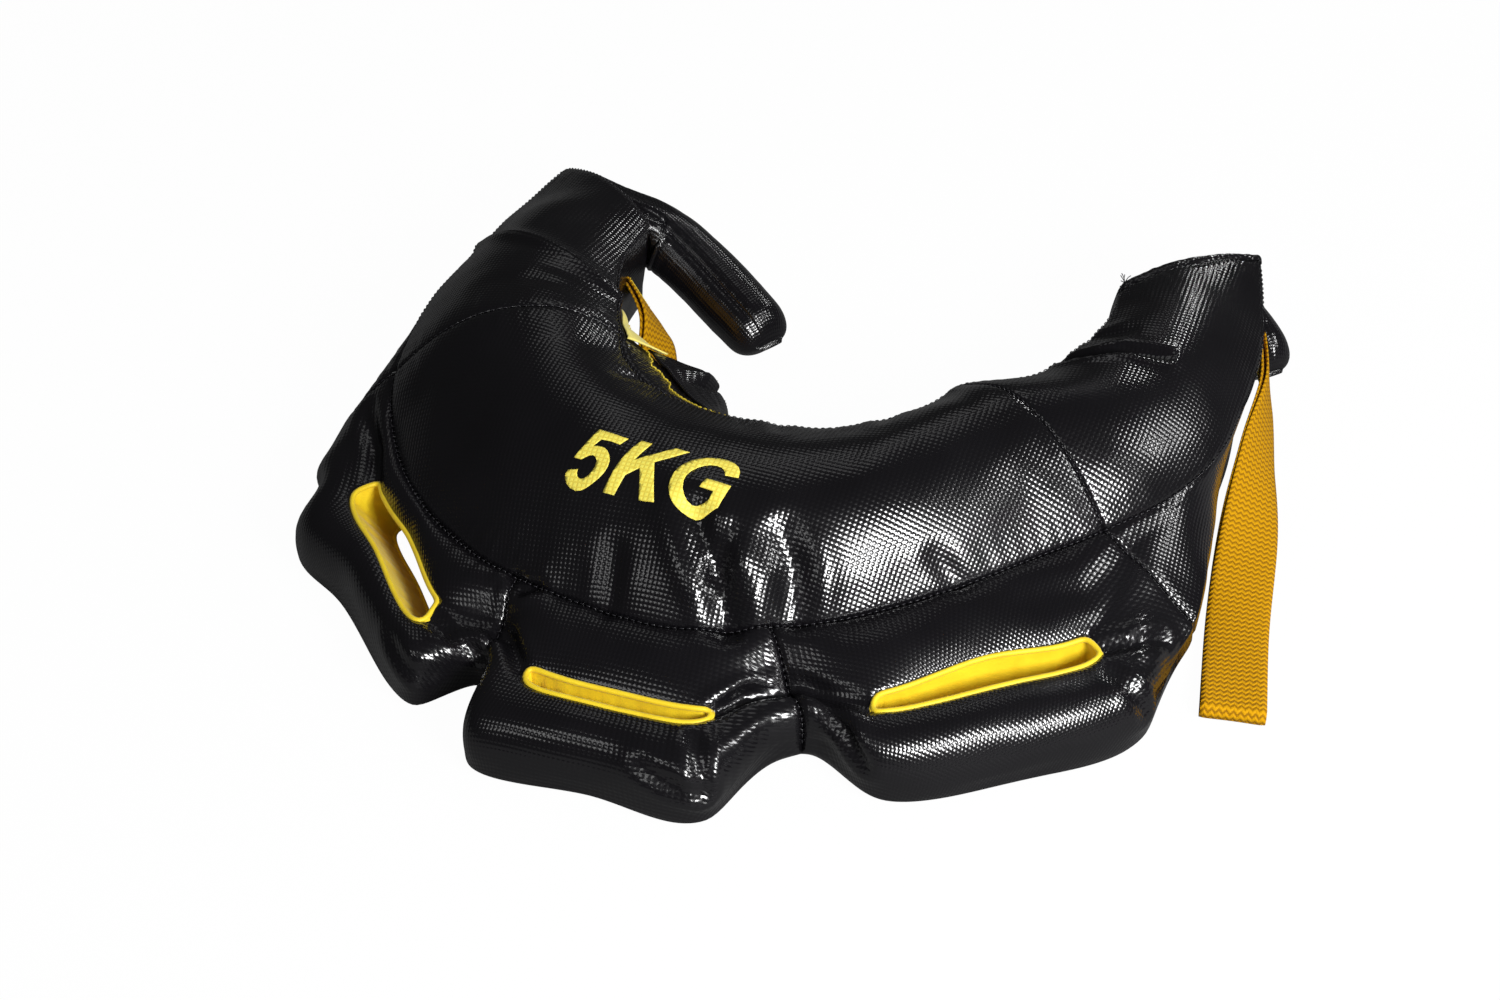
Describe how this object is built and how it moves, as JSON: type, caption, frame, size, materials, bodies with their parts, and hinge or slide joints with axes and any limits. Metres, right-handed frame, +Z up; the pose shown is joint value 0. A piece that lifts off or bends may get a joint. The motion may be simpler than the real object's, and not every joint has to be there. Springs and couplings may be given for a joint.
{
  "type": "bulgarian bag",
  "caption": "Horseshoe-shaped stuffed training bag with slotted grip lobes, limp finger handles and webbing loops.",
  "frame": {"origin": "on the floor, at the flat underside of the belly, in line with the middle of the neck opening", "axes": "+X across the bag from its left horn to its right one, +Y from the grips towards the horns, +Z up from the floor it lies on"},
  "size_m": [0.6033, 0.5534, 0.1224],
  "materials": {
    "coated_fabric": "glossy embossed coating on woven cloth",
    "nylon_lining": "plain woven nylon",
    "webbing": "chevron woven polyester webbing",
    "filling": "packed rags",
    "zip_tape": "woven tape",
    "zip_teeth": "moulded coil",
    "zip_metal": "black enamel"
  },
  "bodies": {
    "bag": {"front_panel_left": "coated_fabric", "front_panel_centre": "coated_fabric", "front_panel_right": "coated_fabric", "back_panel_left": "coated_fabric", "back_panel_centre": "coated_fabric", "back_panel_right": "coated_fabric", "end_cap_left": "coated_fabric", "end_cap_right": "coated_fabric", "side_panel_left": "coated_fabric", "side_panel_right": "coated_fabric", "neck_gusset_left": "coated_fabric", "neck_gusset_centre": "coated_fabric", "neck_gusset_right": "coated_fabric", "grip_cover_left": "coated_fabric", "grip_cover_centre": "coated_fabric", "grip_cover_right": "coated_fabric", "slot_lining_left": "nylon_lining", "slot_lining_centre": "nylon_lining", "slot_lining_right": "nylon_lining", "neck_tab": "nylon_lining", "filling_bag_left": "filling", "filling_bag_centre": "filling", "filling_bag_right": "filling", "grip_filling_left": "filling", "grip_filling_centre": "filling", "grip_filling_right": "filling", "zip_tape_upper": "zip_tape", "zip_tape_lower": "zip_tape", "zip_teeth": "zip_teeth"},
    "finger_left": {"finger_cover_left": "coated_fabric", "finger_filling_left": "filling"},
    "finger_right": {"finger_cover_right": "coated_fabric", "finger_filling_right": "filling"},
    "strap_left": {"strap_left": "webbing"},
    "strap_right": {"strap_right": "webbing"},
    "closure_flap": {"closure_flap": "coated_fabric"},
    "zip_slider": {"zip_slider": "zip_metal"},
    "zip_pull": {"zip_pull": "zip_metal"}
  },
  "joints": [
    {"name": "finger_left_bend", "type": "hinge", "parent": "bag", "child": "finger_left", "pos_m": [-0.16548, 0.2845, 0.08046], "axis": [0.678, -0.735, 0], "range_deg": [0, 70]},
    {"name": "finger_right_bend", "type": "hinge", "parent": "bag", "child": "finger_right", "pos_m": [0.21532, 0.31, 0.0765], "axis": [0.8713, 0.4907, 0], "range_deg": [0, 70]},
    {"name": "strap_left_swing", "type": "hinge", "parent": "bag", "child": "strap_left", "pos_m": [-0.1318, 0.246, 0.07044], "axis": [-0.6359, -0.4372, 0.6359], "range_deg": [0, 60]},
    {"name": "strap_right_swing", "type": "hinge", "parent": "bag", "child": "strap_right", "pos_m": [0.26992, 0.308, 0.03104], "axis": [-0.9397, 0.3419, 0], "range_deg": [0, 75]},
    {"name": "closure_flap_lift", "type": "hinge", "parent": "bag", "child": "closure_flap", "pos_m": [-0.05732, 0.0967, 0.09188], "axis": [0.8793, -0.4762, 0], "range_deg": [0, 70]},
    {"name": "zip_run", "type": "hinge", "parent": "bag", "child": "zip_slider", "pos_m": [-0.00504, 0.193, 0.05402], "axis": [0, 0, 1], "range_deg": [-4, 56]},
    {"name": "zip_pull_swing", "type": "hinge", "parent": "zip_slider", "child": "zip_pull", "pos_m": [-0.01151, 0.10053, 0.05852], "axis": [0.9976, -0.0698, 0], "range_deg": [0, 80]}
  ]
}
